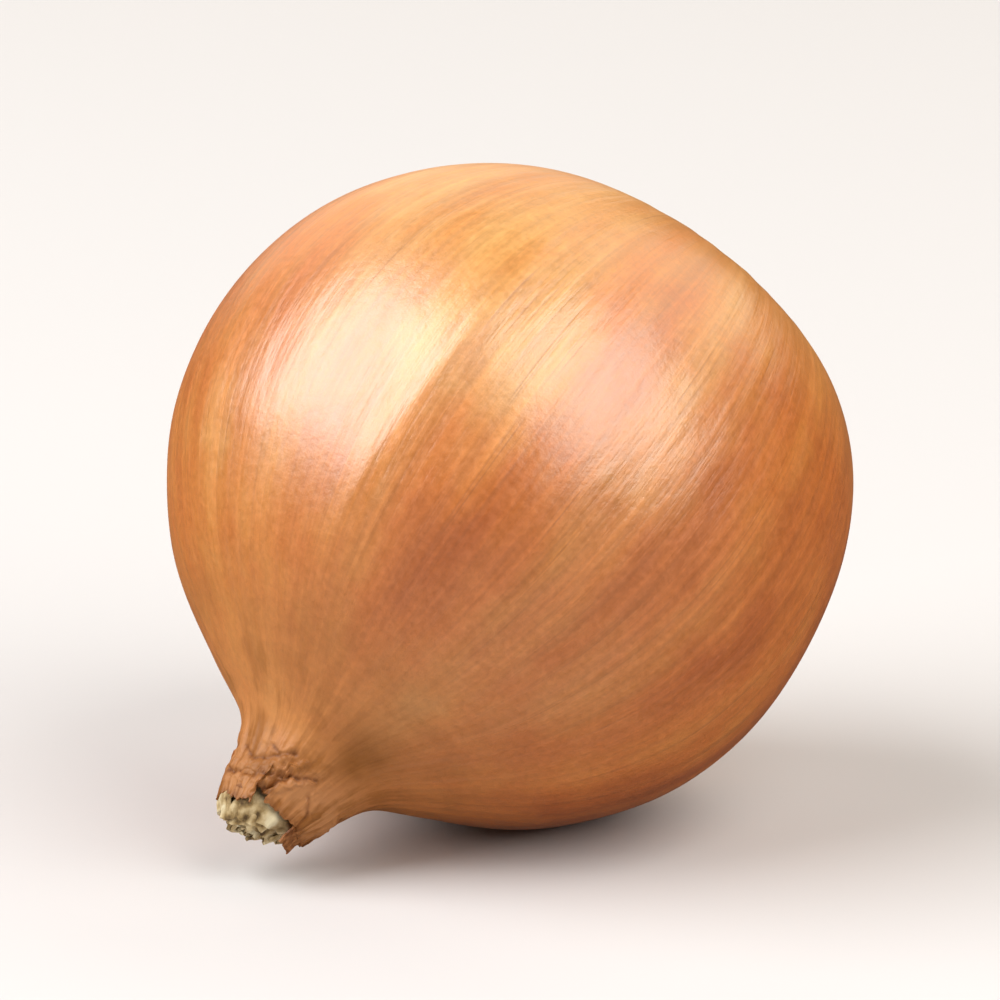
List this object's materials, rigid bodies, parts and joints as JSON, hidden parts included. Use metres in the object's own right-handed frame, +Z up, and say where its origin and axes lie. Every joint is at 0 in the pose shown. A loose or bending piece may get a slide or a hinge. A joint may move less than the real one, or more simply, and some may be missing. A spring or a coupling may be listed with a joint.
{
  "type": "onion",
  "caption": "Whole yellow onion lying on its side: round bulb in dry golden skin, papery neck with a pale dried core, and a hollow of dead roots.",
  "frame": {"origin": "the middle of the small flat spot on the underside that the onion rests on", "axes": "+Z up; the neck points towards -X and 40 degrees below level, and the roots towards +X and up; -Y is the side nearer the camera of the picture"},
  "size_m": [0.0796, 0.0765, 0.0747],
  "materials": {
    "dry_skin": "dry papery skin, softly glossy, with fine veins along it",
    "dried_leaf_ends": "matte dried leaf tissue",
    "dead_roots": "matte dry roots and corky plate"
  },
  "bodies": {
    "root": {"bulb": "dry_skin", "neck_core": "dried_leaf_ends", "root_crown": "dead_roots"}
  },
  "joints": []
}
